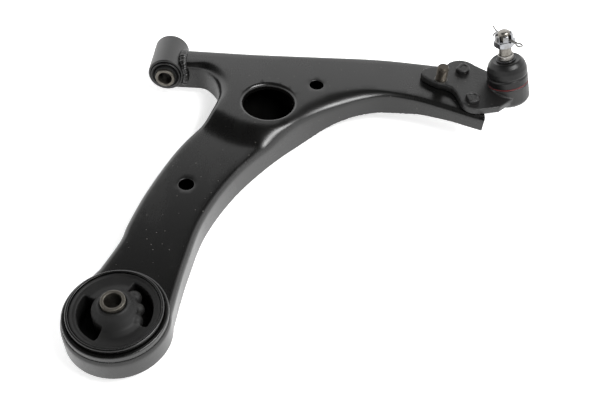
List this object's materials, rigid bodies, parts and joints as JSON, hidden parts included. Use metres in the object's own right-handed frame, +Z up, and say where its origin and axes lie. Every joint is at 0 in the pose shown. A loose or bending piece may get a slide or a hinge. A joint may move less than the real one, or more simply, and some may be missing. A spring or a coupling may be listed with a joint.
{
  "type": "automotive front lower control arm",
  "caption": "L-shaped pressed-steel suspension control arm with a tubular front bush, an upright rear bush and a bolted-on ball joint.",
  "frame": {"origin": "centre of the underside of the bounding box at rest", "axes": "+X outboard to the ball joint, +Y forward to the front bush, +Z up along the rear bush's bolt axis"},
  "size_m": [0.4272, 0.4136, 0.1107],
  "materials": {
    "black_paint": "satin black electrocoat over pressed steel",
    "painted_weld": "black electrocoat over a rough weld bead",
    "black_forging": "satin black phosphate over a forging",
    "bush_rubber": "matte moulded natural rubber",
    "boot_rubber": "smooth moulded chloroprene, slightly glossy",
    "sleeve_steel": "dull turned steel tube",
    "stud_steel": "bright turned steel",
    "spring_steel": "hardened spring steel",
    "zinc_plate": "bright zinc plate",
    "dark_zinc": "dark zinc-iron plate",
    "seat_plastic": "natural acetal",
    "red_ring": "dark red moulded ring"
  },
  "bodies": {
    "arm": {"upper_shell": "black_paint", "lower_shell": "black_paint", "front_bush_tube": "black_paint", "front_bush_outer_sleeve": "black_paint", "front_bush_rubber": "bush_rubber", "rear_eye_collar": "black_paint", "rear_bush_outer_sleeve": "black_paint", "rear_bush_rubber": "bush_rubber", "ball_joint_housing": "black_forging", "housing_cap": "black_forging", "seat_spring_washer": "spring_steel", "lower_ball_seat": "seat_plastic", "upper_ball_seat": "seat_plastic", "dust_boot": "boot_rubber", "boot_base_ring": "red_ring", "flange_stud_front": "black_forging", "flange_nut_front": "dark_zinc", "flange_stud_rear": "black_forging", "flange_nut_rear": "dark_zinc", "flange_bolt": "dark_zinc", "front_tube_weld": "painted_weld", "edge_seam_weld": "painted_weld"},
    "front_sleeve": {"front_bush_inner_sleeve": "sleeve_steel"},
    "rear_sleeve": {"rear_bush_inner_sleeve": "sleeve_steel"},
    "stud_swing": {"boot_top_ring": "spring_steel", "stud_collar": "stud_steel"},
    "stud": {"ball_stud": "stud_steel", "castle_nut": "zinc_plate", "cotter_pin": "zinc_plate"}
  },
  "joints": [
    {"name": "front_bush_twist", "type": "hinge", "parent": "arm", "child": "front_sleeve", "pos_m": [-0.1735, 0.17518, 0.0295], "axis": [0, 0.9976, -0.0698], "range_deg": [-18, 18], "stiffness_Nm_per_rad": 60},
    {"name": "rear_bush_rock", "type": "hinge", "parent": "arm", "child": "rear_sleeve", "pos_m": [-0.1667, -0.15982, 0.028], "axis": [0, 0.9976, -0.0698], "range_deg": [-18, 18], "stiffness_Nm_per_rad": 40, "deforming": ["rear_bush_rubber"]},
    {"name": "ball_stud_tilt", "type": "hinge", "parent": "arm", "child": "stud_swing", "pos_m": [0.19005, 0.14643, 0.04928], "axis": [0.052, 0.9817, -0.183], "range_deg": [-20, 20], "deforming": ["dust_boot"]},
    {"name": "ball_stud_spin", "type": "hinge", "parent": "stud_swing", "child": "stud", "pos_m": [0.19005, 0.14643, 0.04928], "axis": [-0.2684, 0.1903, 0.9443], "continuous": true}
  ],
  "couplings": [
    {"joint": "rear_bush_rock", "follows": "front_bush_twist", "ratio": 1}
  ]
}
